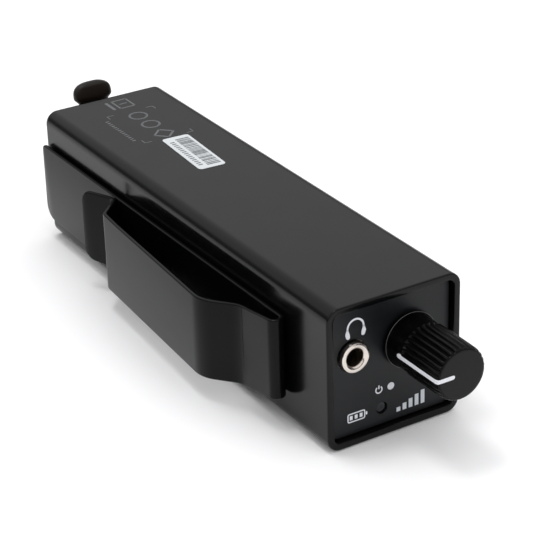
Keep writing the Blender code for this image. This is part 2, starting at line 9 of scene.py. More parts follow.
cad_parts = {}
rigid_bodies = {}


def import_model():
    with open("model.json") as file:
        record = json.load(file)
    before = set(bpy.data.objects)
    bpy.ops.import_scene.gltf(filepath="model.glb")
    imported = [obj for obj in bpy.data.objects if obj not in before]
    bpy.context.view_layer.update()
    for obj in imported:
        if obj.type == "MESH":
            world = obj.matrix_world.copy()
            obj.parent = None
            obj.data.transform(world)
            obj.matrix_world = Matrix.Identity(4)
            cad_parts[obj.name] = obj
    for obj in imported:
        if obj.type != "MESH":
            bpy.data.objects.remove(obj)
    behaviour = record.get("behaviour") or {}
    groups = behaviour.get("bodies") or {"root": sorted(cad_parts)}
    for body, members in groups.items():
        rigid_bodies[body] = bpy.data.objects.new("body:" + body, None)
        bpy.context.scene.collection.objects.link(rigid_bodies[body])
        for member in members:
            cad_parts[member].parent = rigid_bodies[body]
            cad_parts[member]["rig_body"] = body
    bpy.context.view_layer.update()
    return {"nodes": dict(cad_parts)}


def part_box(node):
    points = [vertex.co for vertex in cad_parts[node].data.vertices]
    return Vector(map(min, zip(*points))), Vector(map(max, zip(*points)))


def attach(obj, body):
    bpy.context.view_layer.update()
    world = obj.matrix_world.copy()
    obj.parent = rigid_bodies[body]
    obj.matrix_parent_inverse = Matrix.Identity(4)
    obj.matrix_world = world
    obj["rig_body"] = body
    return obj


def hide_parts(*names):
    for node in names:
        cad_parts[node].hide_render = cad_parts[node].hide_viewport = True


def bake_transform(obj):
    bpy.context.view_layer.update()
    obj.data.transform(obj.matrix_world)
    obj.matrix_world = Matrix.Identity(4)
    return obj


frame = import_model()
nodes = frame["nodes"]

# Every place below is in millimetres from the middle of the sleeve's underside.
# x runs right, y towards the rear socket and z up; inWorld() turns such places into metres.
mm = 0.001
sleeveLow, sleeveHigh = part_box("sleeve")
middle = np.array([(sleeveLow.x + sleeveHigh.x) / 2, (sleeveLow.y + sleeveHigh.y) / 2, 0.0])
sleeveWidth = (sleeveHigh.x - sleeveLow.x) / mm
sleeveTop = sleeveHigh.z / mm
frontY = -(sleeveHigh.y - sleeveLow.y) / 2 / mm
rearY = -frontY


def inWorld(points):
    return np.asarray(points, float) * mm + middle


def ownPlace(node):
    # A node's lowest and highest corners, in the millimetres used here.
    low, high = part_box(node)
    return (np.array(low) - middle) / mm, (np.array(high) - middle) / mm


panelFace = ownPlace("front_panel")[0][1]
knobLow, knobHigh = ownPlace("volume_knob")
knobX, knobZ = (knobLow[0] + knobHigh[0]) / 2, (knobLow[2] + knobHigh[2]) / 2
knobTip, knobBack = knobLow[1], knobHigh[1]
bushLow, bushHigh = ownPlace("headphone_jack_bush")
jackX, jackZ = (bushLow[0] + bushHigh[0]) / 2, (bushLow[2] + bushHigh[2]) / 2
print("frame loaded, sleeve", round(sleeveWidth, 2), "mm wide")


# Materials

def newMaterial(name):
    material = bpy.data.materials.new(name)
    material.use_nodes = True
    tree = material.node_tree
    shader = tree.nodes["Principled BSDF"]
    return material, tree, shader


def addNoise(tree, scale, detail, stretch=(1.0, 1.0, 1.0)):
    # Noise in object space; stretch squeezes it along an axis, for brushed or rolled metal.
    coordinates = tree.nodes.new("ShaderNodeTexCoord")
    mapping = tree.nodes.new("ShaderNodeMapping")
    mapping.inputs["Scale"].default_value = stretch
    noise = tree.nodes.new("ShaderNodeTexNoise")
    noise.inputs["Scale"].default_value = scale
    noise.inputs["Detail"].default_value = detail
    tree.links.new(coordinates.outputs["Object"], mapping.inputs["Vector"])
    tree.links.new(mapping.outputs["Vector"], noise.inputs["Vector"])
    return noise.outputs["Fac"]


def addRange(tree, value, low, high):
    # The middle of a noise's range, stretched over the wanted range.
    mapRange = tree.nodes.new("ShaderNodeMapRange")
    mapRange.inputs["From Min"].default_value = slowNoise["low"]
    mapRange.inputs["From Max"].default_value = slowNoise["high"]
    mapRange.inputs["To Min"].default_value = low
    mapRange.inputs["To Max"].default_value = high
    tree.links.new(value, mapRange.inputs["Value"])
    return mapRange.outputs["Result"]


def addBump(tree, shader, height, strength, distance):
    bump = tree.nodes.new("ShaderNodeBump")
    bump.inputs["Strength"].default_value = strength
    bump.inputs["Distance"].default_value = distance
    tree.links.new(height, bump.inputs["Height"])
    tree.links.new(bump.outputs["Normal"], shader.inputs["Normal"])


slowNoise = {"scale": 160.0, "detail": 4.0, "low": 0.3, "high": 0.7}
grainDetail = 2.0


def finish(name, color, roughness, metallic=0.0, grain=9000.0, grainDepth=0.00001, grainStrength=0.25,
           roughSpread=0.05, colorSpread=0.12, stretch=(1.0, 1.0, 1.0), ior=1.5):
    # A finish with fine grain in its height, and slow changes in its colour and roughness.
    material, tree, shader = newMaterial(name)
    shader.inputs["Metallic"].default_value = metallic
    shader.inputs["IOR"].default_value = ior
    slow = addNoise(tree, slowNoise["scale"], slowNoise["detail"])
    ramp = tree.nodes.new("ShaderNodeMix")
    ramp.data_type = "RGBA"
    ramp.inputs[6].default_value = (*[c * (1 - colorSpread) for c in color], 1.0)
    ramp.inputs[7].default_value = (*[c * (1 + colorSpread) for c in color], 1.0)
    tree.links.new(slow, ramp.inputs["Factor"])
    tree.links.new(ramp.outputs[2], shader.inputs["Base Color"])
    tree.links.new(addRange(tree, slow, roughness - roughSpread, roughness + roughSpread),
                   shader.inputs["Roughness"])
    addBump(tree, shader, addNoise(tree, grain, grainDetail, stretch), grainStrength, grainDepth)
    return material


finishes = {
    "anodised": finish("sleeveAnodised", (0.0021, 0.0022, 0.0026), 0.19, ior=1.295, grain=12000.0,
                       grainDepth=0.000003, roughSpread=0.012),
    "panel": finish("panelAnodised", (0.0052, 0.006, 0.0072), 0.4, ior=1.36, grain=11000.0,
                    grainDepth=0.000005, roughSpread=0.02),
    "clip": finish("clipCoating", (0.0014, 0.0015, 0.002), 0.2, ior=1.235, grain=8000.0,
                   grainDepth=0.000003, roughSpread=0.015),
    "knob": finish("knobPlastic", (0.0009, 0.0009, 0.001), 0.24, ior=1.22, grain=7000.0,
                   grainDepth=0.000005, roughSpread=0.02),
    "knobCap": finish("knobCapPlastic", (0.0035, 0.0036, 0.0038), 0.42, ior=1.28, grain=9000.0,
                      grainDepth=0.00001, roughSpread=0.03),
    # A lighter grey for the thin ring at the knob flange's front edge: a painted highlight, standing in for the
    # bright arc along that edge.
    "knobEdgePaintedHighlight": finish("paintedKnobEdgeHighlight", (0.11, 0.11, 0.11), 0.35, grain=7000.0, colorSpread=0.3),
    "white": finish("whiteInk", (0.72, 0.73, 0.77), 0.55, grain=6000.0, colorSpread=0.03),
    "greyInk": finish("greyInk", (0.58, 0.61, 0.65), 0.55, grain=6000.0, colorSpread=0.05),
    "laserMark": finish("laserMark", (0.098, 0.102, 0.11), 0.5, grain=9000.0, colorSpread=0.15),
    "nickel": finish("nickelPlate", (0.7, 0.64, 0.59), 0.2, metallic=1.0, grain=5000.0, grainDepth=0.000003,
                     roughSpread=0.02),
    "steel": finish("plainSteel", (0.55, 0.55, 0.56), 0.34, metallic=1.0, stretch=(1, 0.05, 1)),
    "blackSteel": finish("blackSteel", (0.03, 0.03, 0.031), 0.35, metallic=0.6),
    "gold": finish("contactGold", (0.83, 0.63, 0.3), 0.24, metallic=1.0),
    "plastic": finish("blackPlastic", (0.014, 0.0135, 0.013), 0.42, grain=5000.0, grainDepth=0.00002),
    "pad": finish("leverPlastic", (0.0095, 0.0068, 0.005), 0.36, ior=1.33, grain=6000.0, grainDepth=0.00001),
    "liner": finish("socketLiner", (0.075, 0.062, 0.036), 0.3, grain=5000.0),
    "board": finish("boardLacquer", (0.012, 0.085, 0.04), 0.35, grain=3000.0, grainDepth=0.00003),
    "can": finish("canAluminium", (0.62, 0.62, 0.64), 0.3, metallic=1.0, stretch=(1, 1, 0.1)),
    "cell": finish("cellFoil", (0.03, 0.034, 0.046), 0.3, metallic=0.4, grainStrength=0.05,
                   grainDepth=0.000002),
    "lens": finish("lightLens", (0.014, 0.015, 0.017), 0.16, ior=1.4),
    "paper": finish("labelPaper", (0.56, 0.585, 0.605), 0.7, grain=5000.0, colorSpread=0.02),
    "labelInk": finish("labelInk", (0.11, 0.12, 0.13), 0.6),
    "redLead": finish("redInsulation", (0.42, 0.02, 0.02), 0.42),
    "blackLead": finish("blackInsulation", (0.02, 0.02, 0.02), 0.42),
}
print("materials made:", len(finishes))


# Surfaces

def gridFaces(rows, columns, wrapRows, wrapColumns):
    # Four-sided faces between neighbouring points of a grid, which may close on itself either way.
    r, c = np.meshgrid(np.arange(rows if wrapRows else rows - 1),
                       np.arange(columns if wrapColumns else columns - 1), indexing="ij")
    nextRow, nextColumn = (r + 1) % rows, (c + 1) % columns
    corners = [r * columns + c, r * columns + nextColumn, nextRow * columns + nextColumn,
               nextRow * columns + c]
    return np.stack(corners, -1).reshape(-1, 4)


def meshFrom(name, points, faceLists, sharpAngle=32.0):
    # A closed mesh from points in millimetres and lists of faces, smooth but for edges past sharpAngle.
    mesh = bpy.data.meshes.new(name)
    place = inWorld(points.reshape(-1, 3))
    mesh.vertices.add(len(place))
    mesh.vertices.foreach_set("co", place.astype(np.float32).ravel())
    sizes = np.concatenate([np.full(len(f), f.shape[1]) for f in faceLists])
    loops = np.concatenate([f.ravel() for f in faceLists])
    mesh.loops.add(len(loops))
    mesh.loops.foreach_set("vertex_index", loops.astype(np.int32))
    mesh.polygons.add(len(sizes))
    starts = np.concatenate([[0], np.cumsum(sizes)[:-1]])
    mesh.polygons.foreach_set("loop_start", starts.astype(np.int32))
    mesh.update(calc_edges=True)
    mesh.validate()
    faces = bmesh.new()
    faces.from_mesh(mesh)
    bmesh.ops.recalc_face_normals(faces, faces=faces.faces)
    faces.to_mesh(mesh)
    faces.free()
    mesh.shade_smooth()
    mesh.set_sharp_from_angle(angle=math.radians(sharpAngle))
    return mesh


def addPiece(name, mesh, material, body, replaced=()):
    piece = bpy.data.objects.new(name, mesh)
    bpy.context.scene.collection.objects.link(piece)
    mesh.materials.append(finishes[material])
    if body:
        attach(piece, body)
    if replaced:
        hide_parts(*replaced)
    return piece


def sweep(name, sections, closed=False, sharpAngle=32.0):
    # A skin over a row of sections, each a closed loop of points; its two ends are capped, or joined.
    count, around = sections.shape[:2]
    faceLists = [gridFaces(count, around, closed, True)]
    if not closed:
        faceLists.append(np.arange(around)[None, :])
        faceLists.append(np.arange(around)[None, ::-1] + (count - 1) * around)
    return meshFrom(name, sections, faceLists, sharpAngle)


def joined(name, meshes):
    # Several meshes as one.
    whole = bmesh.new()
    for mesh in meshes:
        whole.from_mesh(mesh)
        bpy.data.meshes.remove(mesh)
    result = bpy.data.meshes.new(name)
    whole.to_mesh(result)
    whole.free()
    return result


def turned(name, profile, x, z, segments=96, closed=False, ribs=None):
    # A turned shape about a line along y: each (radius, y) of the profile is carried round a circle.
    profile = np.asarray(profile, float)
    angle = np.linspace(0, 2 * np.pi, segments, endpoint=False)
    radius = np.repeat(profile[:, :1], segments, axis=1)
    if ribs is not None:
        radius = radius - ribs(profile, angle)
    y = np.repeat(profile[:, 1:2], segments, axis=1)
    points = np.stack([x + radius * np.cos(angle), y, z + radius * np.sin(angle)], -1)
    return sweep(name, points, closed)


def roundedPath(corners, steps=8, closed=False):
    # A flat path through corners (a, b, radius), with an arc of that radius at each.
    corners = np.asarray(corners, float)
    count = len(corners)
    pieces = []
    for i in range(count):
        here = corners[i, :2]
        if not closed and i in (0, count - 1):
            pieces.append(here[None, :])
            continue
        before, after = here - corners[i - 1, :2], corners[(i + 1) % count, :2] - here
        into, out = math.atan2(before[1], before[0]), math.atan2(after[1], after[0])
        turn = (out - into + math.pi) % (2 * math.pi) - math.pi
        radius = corners[i, 2]
        reach = radius * math.tan(abs(turn) / 2)
        side = math.copysign(1.0, turn)
        start = here - reach * np.array([math.cos(into), math.sin(into)])
        centre = start + side * radius * np.array([-math.sin(into), math.cos(into)])
        angle = into + turn * np.linspace(0, 1, steps + 1)
        pieces.append(centre + side * radius * np.stack([np.sin(angle), -np.cos(angle)], -1))
    return np.concatenate(pieces)


def lengthAlong(path):
    # How far each point of a path is from its start, measured along the path.
    return np.concatenate([[0], np.cumsum(np.linalg.norm(np.diff(path, axis=0), axis=1))])


def pointsAt(path, length, along):
    # The points of a flat path at the given distances from its start.
    return np.stack([np.interp(along, length, path[:, k]) for k in range(2)], -1)


def inOrder(*lists):
    # Distances from several lists in one rising list, each kept once.
    return np.unique(np.round(np.concatenate(lists), 4))


def smoothStep(value):
    # From 0 to 1 with no kink at either end.
    value = np.clip(value, 0, 1)
    return value * value * (3 - 2 * value)


def spread(path, spacing):
    # The same path with more points, so that none is further than spacing from the next.
    length = lengthAlong(path)
    return pointsAt(path, length, inOrder(length, np.arange(0, length[-1], spacing)))


def across(path):
    # The unit normal at each point of a flat path, to its left.
    ahead = np.gradient(path, axis=0)
    ahead /= np.linalg.norm(ahead, axis=1)[:, None]
    return np.stack([-ahead[:, 1], ahead[:, 0]], -1)


# Sleeve

sleeveShape = {"cornerRadius": 2.7, "wall": 1.45, "rim": 0.28, "rimRun": 0.3, "cornerSteps": 14,
               "nearEdge": 0.02, "hatchFront": -38.3, "hatchRear": 18.0, "hatchLow": 3.9, "hatchHigh": 25.7}


def makeSleeve():
    # A square with round corners, carried along y; its wall turns over a small round at both rims.
    # A point is a corner's centre plus the outward direction times the radius left at that depth.
    s = sleeveShape
    half = sleeveWidth / 2 - s["cornerRadius"]
    quarter = np.linspace(0, math.pi / 2, s["cornerSteps"] + 1)
    low, high = sleeveTop / 2 - half, sleeveTop / 2 + half
    centres, angles = [], []
    for k, (x, z) in enumerate(((half, high), (-half, high), (-half, low), (half, low))):
        nextX, nextZ = ((-half, high), (-half, low), (half, low), (half, high))[k]
        centres.append(np.repeat([[x, z]], len(quarter), axis=0))
        angles.append(quarter + k * math.pi / 2)
        shares = np.array([s["nearEdge"], 0.5, 1 - s["nearEdge"]])
        if k == 3:
            marks = (np.array([s["hatchLow"], s["hatchHigh"]]) - low) / (high - low)
            shares = np.array([s["nearEdge"], *marks, 1 - s["nearEdge"]])
        centres.append(np.array([x, z]) + shares[:, None] * np.array([nextX - x, nextZ - z]))
        angles.append(np.full(len(shares), (k + 1) * math.pi / 2))
    centres, angles = np.concatenate(centres), np.concatenate(angles)
    outward = np.stack([np.cos(angles), np.sin(angles)], -1)

    wall, rim, run = s["wall"], s["rim"], s["rimRun"]
    turn = np.linspace(0, math.pi / 2, 5)
    inLine = np.array([frontY + rim, frontY + rim + run, s["hatchFront"], s["hatchRear"], rearY - rim - run])
    rearOut = np.stack([rim - rim * np.cos(turn), rearY - rim + rim * np.sin(turn)], -1)
    rearIn = np.stack([wall - rim + rim * np.sin(turn), rearY - rim + rim * np.cos(turn)], -1)
    outer = np.stack([np.zeros(5), inLine], -1)
    inner = np.stack([np.full(5, wall), inLine[::-1]], -1)
    frontIn = np.stack([wall - rim + rim * np.cos(turn), frontY + rim - rim * np.sin(turn)], -1)
    frontOut = np.stack([rim - rim * np.sin(turn), frontY + rim - rim * np.cos(turn)], -1)
    section = np.concatenate([outer, rearOut, rearIn, inner, frontIn[1:], frontOut[:-1]])

    radius = s["cornerRadius"] - section[:, 0]
    flat = centres[:, None, :] + outward[:, None, :] * radius[None, :, None]
    y = np.broadcast_to(section[:, 1], flat.shape[:2])
    points = np.stack([flat[..., 0], y, flat[..., 1]], -1)

    # The hatch in the right side leaves out one face outside and one inside, and gets four walls.
    around, along = points.shape[:2]
    faces = gridFaces(around, along, True, True)
    rightSide = points[:, 0, 0] > 0
    a, b = (int(np.flatnonzero(np.isclose(points[:, 0, 2], s[k], atol=1e-6) & rightSide)[0])
            for k in ("hatchLow", "hatchHigh"))
    outFront, outRear = 2, 3
    inRear = len(outer) + len(rearOut) + len(rearIn) + 1
    inFront = inRear + 1
    first = faces[:, 0]
    hole = (first == a * along + outFront) | (first == a * along + inRear)
    walls = [[a, outFront, b, outFront, b, inFront, a, inFront],
             [a, outRear, b, outRear, b, inRear, a, inRear],
             [a, outFront, a, outRear, a, inRear, a, inFront],
             [b, outFront, b, outRear, b, inRear, b, inFront]]
    walls = np.array(walls).reshape(4, 4, 2)
    wallFaces = walls[..., 0] * along + walls[..., 1]
    mesh = meshFrom("sleeveShell", points, [faces[~hole], wallFaces], 40.0)
    addPiece("sleeveShell", mesh, "anodised", "case", ["sleeve"])


makeSleeve()
print("sleeve made")


# Belt clip

# "tongue" holds the corners (x, y, radius) of the springy part, from its knee to the end of its lip.
clipShape = {
    "thickness": 0.9, "low": 4.8, "high": 21.85, "edge": 0.26, "wallGap": 0.42, "plateEnd": rearY - 0.1,
    "hairpinY": -42.4, "rootX": -18.15, "hairpinTurn": 0.965 * math.pi,
    "hairpinLow": 1.6, "hairpinHigh": 1.3, "hairpinReach": 8.0, "plateHigh": 0.4,
    "tongue": [(-18.5, -32.7, 5.5), (-23.62, -26.2, 6.5), (-21.05, 17.4, 1.7), (-16.2, 21.8, 1.7),
               (-20.1, 29.1, 0)],
    "endLow": 3.0, "endHigh": 0.8, "lipLow": 2.4, "lipHigh": 1.9, "lipRise": 1.9, "lipRiseOver": 15.0,
    "lipTop": 0.8, "lipTopOver": 22.0,
    "spacing": 1.2, "endSpacing": 3.2, "widerEnd": 1.8, "leastStep": 0.02,
    "blendStart": 0.01, "blendEnd": 0.03,
}


def makeClip():
    # One strip: a flat plate along the wall, a half circle at its front, and a springy tongue.
    # The section is a thin rectangle with rounded edges. Its height shrinks in an arc at both ends, and both
    # its edges rise towards the hairpin and the lip.
    c = clipShape
    wall = -sleeveWidth / 2 - c["wallGap"] - c["thickness"] / 2
    radius = (wall - c["rootX"]) / 2
    turn = np.linspace(0, -c["hairpinTurn"], 25)
    hairpin = np.stack([wall - radius + radius * np.cos(turn), c["hairpinY"] + radius * np.sin(turn)], -1)
    tongue = roundedPath([tuple(hairpin[-1]) + (0,)] + c["tongue"], 10)
    path = np.concatenate([[[wall, c["plateEnd"]]], hairpin, tongue[1:]])
    path = spread(path, c["spacing"])
    length = lengthAlong(path)
    ends = c["endSpacing"] * (1 - np.cos(np.linspace(0, math.pi / 2, 12)))
    along = inOrder(length, ends, c["widerEnd"] * ends, length[-1] - c["widerEnd"] * ends)
    along = along[np.concatenate([[True], np.diff(along) > c["leastStep"]])]
    along[-1] = length[-1]
    path = pointsAt(path, length, along)
    normal = across(path)

    def inset(distance, radius):
        # How far the strip's edge steps in at a distance from its end, for a corner of this radius.
        gap = np.clip(radius - distance, 0, radius)
        return radius - np.sqrt(radius ** 2 - gap ** 2)

    toEnd = along[-1] - along
    turnAt = along[np.argmin(path[:, 1])]
    nearTurn = np.exp(-((along - turnAt) / c["hairpinReach"]) ** 2)
    alongPlate = c["plateHigh"] + (c["hairpinHigh"] - c["plateHigh"]) * along / turnAt

    def towardsLip(reach):
        # From 0 to 1, smoothly, over the last stretch of the strip.
        return smoothStep(1 - toEnd / reach)

    low = c["low"] + c["hairpinLow"] * nearTurn + c["lipRise"] * towardsLip(c["lipRiseOver"])
    low = low + np.maximum(inset(along, c["endLow"]), inset(toEnd, c["lipLow"]))
    high = c["high"] + np.where(along < turnAt, alongPlate, c["hairpinHigh"] * nearTurn)
    high = high + c["lipTop"] * towardsLip(c["lipTopOver"])
    high = high - np.maximum(inset(along, c["endHigh"]), inset(toEnd, c["lipHigh"]))
    edge = c["edge"]
    quarter = np.linspace(0, math.pi / 2, 4)
    angle = np.concatenate([quarter + k * math.pi / 2 for k in range(4)])
    sideN = np.repeat([1, -1, -1, 1], 4)
    sideZ = np.repeat([1, 1, -1, -1], 4)
    n = sideN * (c["thickness"] / 2 - edge) + edge * np.cos(angle)
    z = np.where(sideZ > 0, high[:, None] - edge, low[:, None] + edge) + edge * np.sin(angle)
    flat = path[:, None, :] + normal[:, None, :] * n[None, :, None]
    sections = np.concatenate([flat, z[..., None]], -1)
    mesh = sweep("beltClip", sections, sharpAngle=40.0)
    piece = addPiece("beltClip", mesh, "clip", None, ["clip_base", "clip_tongue"])
    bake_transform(piece)


makeClip()
print("belt clip made")


# Volume knob

knobShape = {"ribs": 30, "ribDepth": 0.5, "ribFrom": 5.0, "ribRise": 0.35, "ribEnd": 0.1, "ribFall": 0.45,
             "ribPower": 1.3, "pointerWidth": 0.82, "pointerFrom": 3.85, "pointerTo": 1.5,
             "pointerProud": 0.03, "pointerSpacing": 0.4}


def makeKnob():
    # A turned body whose radius dips between its ribs; a dip grows from nothing at both ends of the ribs.
    # Its profile holds (radius, distance from the back).
    k = knobShape
    back, tip = knobBack, knobTip
    length = back - tip
    profile = [(5.3, 0.0), (5.55, 0.0), (5.65, 0.1), (5.65, 0.65), (5.6, 0.8), (5.42, 1.6), (5.3, 2.6),
               (5.22, 4.0), (5.2, 4.6), (5.22, 4.85), (5.3, 4.98), (5.42, 5.1), (5.46, 5.25), (5.46, 5.6),
               (5.46, 8.0), (5.46, 11.0), (5.43, 14.0), (5.38, length - 0.9), (5.31, length - 0.5),
               (5.17, length - 0.22), (5.0, length - 0.06), (4.9, length), (4.6, length)]
    profile = np.array([(r, back - h) for r, h in profile])

    def ribs(points, angle):
        depth = back - points[:, 1]
        rise = np.clip((depth - k["ribFrom"]) / k["ribRise"], 0, 1)
        fall = np.clip((length - k["ribEnd"] - depth) / k["ribFall"], 0, 1)
        groove = (0.5 + 0.5 * np.cos(k["ribs"] * angle)) ** k["ribPower"]
        return k["ribDepth"] * (rise * fall)[:, None] * groove[None, :]

    outside = turned("knobOutside", profile, knobX, knobZ, 360, ribs=ribs)
    addPiece("knobBody", outside, "knob", "volume_control", ["volume_knob"])
    cap = turned("knobCap", [(4.8, tip + 0.3), (4.83, tip + 0.02), (4.76, tip - 0.01), (4.4, tip - 0.015)],
                 knobX, knobZ, 120)
    addPiece("knobCap", cap, "knobCap", "volume_control")
    # A thin ring in a lighter grey at the flange's front edge: a painted highlight along that edge.
    edge = [(5.6, 0.6), (5.68, 0.6), (5.69, 0.66), (5.68, 0.73), (5.6, 0.73)]
    edge = [(r, back - h) for r, h in edge]
    ring = turned("knobEdgePaintedHighlight", edge, knobX, knobZ, 120, closed=True)
    addPiece("knobEdgePaintedHighlight", ring, "knobEdgePaintedHighlight", "volume_control")


def makePointer():
    # A white inlay: a flat bar carried up the knob's side, over its edge and along its cap.
    k = knobShape
    back, tip = knobBack, knobTip
    proud = k["pointerProud"]
    path = roundedPath([(5.44 + proud, back - k["pointerFrom"], 0), (5.36 + proud, tip + 0.55, 0.5),
                        (5.16, tip + 0.02, 0.25), (4.8, tip - 0.05, 0.3), (k["pointerTo"], tip - 0.05, 0)], 8)
    path = spread(path, k["pointerSpacing"])
    length = lengthAlong(path)
    half = k["pointerWidth"] / 2
    ends = half * (1 - np.cos(np.linspace(0, math.pi / 2, 8)))[1:]
    along = inOrder(length[1:-1], ends, length[-1] - ends)
    path = pointsAt(path, length, along)
    nearest = np.minimum(along, length[-1] - along)
    gap = np.clip(half - nearest, 0, half)
    width = np.sqrt(half ** 2 - gap ** 2)
    normal = across(path)
    inward = np.where(normal[:, :1] * path[:, :1] + normal[:, 1:] * (path[:, 1:] - back) > 0, -normal, normal)
    rows = []
    for sideways, deep in ((1.0, 0.02), (0.8, 0.0), (-0.8, 0.0), (-1.0, 0.02), (-1.0, 0.45), (1.0, 0.45)):
        spot = path + inward * deep
        rows.append(np.stack([knobX - spot[:, 0], spot[:, 1], knobZ + sideways * width], -1))
    mesh = sweep("knobPointerInlay", np.stack(rows, 1), sharpAngle=30.0)
    addPiece("knobPointerInlay", mesh, "white", "volume_control", ["knob_pointer"])


makeKnob()
makePointer()
print("knob made")


# Headphone socket and battery light

# The outlines hold (radius, depth behind the bush's face).
jackShape = {
    "faceBack": 0.1, "shift": 0.06,
    "bush": [(1.78, 2.9), (1.78, 0.7), (1.83, 0.4), (1.98, 0.17), (2.25, 0.03), (2.45, 0.0), (2.75, 0.0),
             (2.9, 0.05), (2.98, 0.15), (3.0, 0.3), (3.0, 2.5), (4.2, 2.6), (4.2, 3.1), (1.95, 3.1)],
    "liner": [(1.84, 3.9), (1.8, 9.5), (1.7, 12.0), (1.0, 12.2), (1.0, 12.5), (2.1, 12.4), (2.1, 4.3)],
}
lensShape = {"setBack": 0.04, "middle": 0.15, "reach": 0.96, "crown": 0.2,
             "stem": [(1.1, 2.1), (1.4, 2.1), (1.4, 5.2), (0.2, 5.2)]}


def makeJack():
    # A nickel bush with rounded lips, and a brown liner down its bore.
    j = jackShape
    face = bushLow[1] + j["faceBack"]
    bush = turned("headphoneBush", [(r, face + depth) for r, depth in j["bush"]],
                  jackX + j["shift"], jackZ - j["shift"], 72, closed=True)
    addPiece("headphoneBush", bush, "nickel", "case", ["headphone_jack_bush"])
    liner = turned("headphoneLiner", [(r, face + depth) for r, depth in j["liner"]], jackX, jackZ, 48,
                   closed=True)
    addPiece("headphoneLiner", liner, "liner", "case")


def makeLight():
    # A dark dome in a hole of the panel, a little below the panel's face.
    d = lensShape
    low, high = ownPlace("battery_light")
    x, z = (low[0] + high[0]) / 2, (low[2] + high[2]) / 2
    tip = max(low[1], panelFace + d["setBack"])
    bend = np.linspace(0, math.pi / 2, 8)
    dome = np.stack([d["middle"] + d["reach"] * np.sin(bend), tip + d["crown"] * (1 - np.cos(bend))], -1)
    profile = np.concatenate([dome, [(r, tip + depth) for r, depth in d["stem"]]])
    lens = turned("batteryLens", profile, x, z, 40)
    addPiece("batteryLens", lens, "lens", "case", ["battery_light"])


makeJack()
makeLight()
print("headphone socket and light made")


# Printed signs on the panel: bars with round or square ends, all a little proud of the surface

inkShape = {"proud": 0.03, "sunk": 0.02, "spacing": 0.25, "leastHalfSquared": 1e-4}


def barOnPanel(path, width, roundEnds=True):
    # A flat bar along a path of (x, z), carried in a thin slab that stands just proud of the panel.
    # The width is one number, or several spread evenly along the path.
    path = spread(np.asarray(path, float), inkShape["spacing"])
    length = lengthAlong(path)
    half = np.full(len(path), width / 2) if np.isscalar(width) else np.interp(
        length / length[-1], np.linspace(0, 1, len(width)), width) / 2
    if roundEnds:
        tip = np.minimum(half[0], length[-1] / 2)
        ends = tip * (1 - np.cos(np.linspace(0, math.pi / 2, 6)))[1:]
        along = inOrder(length[1:-1], ends, length[-1] - ends)
        half = np.interp(along, length, half)
        nearest = np.minimum(along, length[-1] - along)
        gap = np.clip(half - nearest, 0, half)
        half = np.sqrt(np.maximum(half ** 2 - gap ** 2, inkShape["leastHalfSquared"]))
        path = pointsAt(path, length, along)
    side = across(path) * half[:, None]
    rows = []
    proud, sunk = inkShape["proud"], inkShape["sunk"]
    for sign, lift in ((1, proud), (-1, proud), (-1, -sunk), (1, -sunk)):
        spot = path + sign * side
        rows.append(np.stack([spot[:, 0], np.full(len(spot), panelFace - lift), spot[:, 1]], -1))
    return sweep("bar", np.stack(rows, 1))


def dotOnPanel(x, z, radius):
    outline = [(radius, panelFace + inkShape["sunk"]), (radius, panelFace - inkShape["proud"])]
    return turned("dot", outline, x, z, 36)


def circlePath(x, z, radius, start, stop, count=24):
    # Points on part of a circle, from one angle to another in degrees.
    angle = np.radians(np.linspace(start, stop, count))
    return np.stack([x + radius * np.cos(angle), z + radius * np.sin(angle)], -1)


signPlace = {"headphoneX": -7.75, "headphoneZ": 23.75, "bandRadius": 1.75, "dotX": -0.03, "dotZ": 9.18,
             "dotRadius": 0.75, "powerX": -2.7, "powerZ": 9.2, "batteryX": -7.6, "batteryZ": 5.2,
             "levelX": 1.7, "levelZ": 3.15}
signSize = {"band": 0.38, "cup": [0.3, 0.95, 0.75], "powerRadius": 0.68, "powerLine": 0.26, "batteryLine": 0.24,
            "batteryTip": 0.36, "batteryCells": 3, "cellPitch": 1.1, "cellWidth": 0.62, "levelBars": 5,
            "levelPitch": 1.38, "levelFirst": 0.9, "levelRise": 0.5, "levelWidth": 0.85}


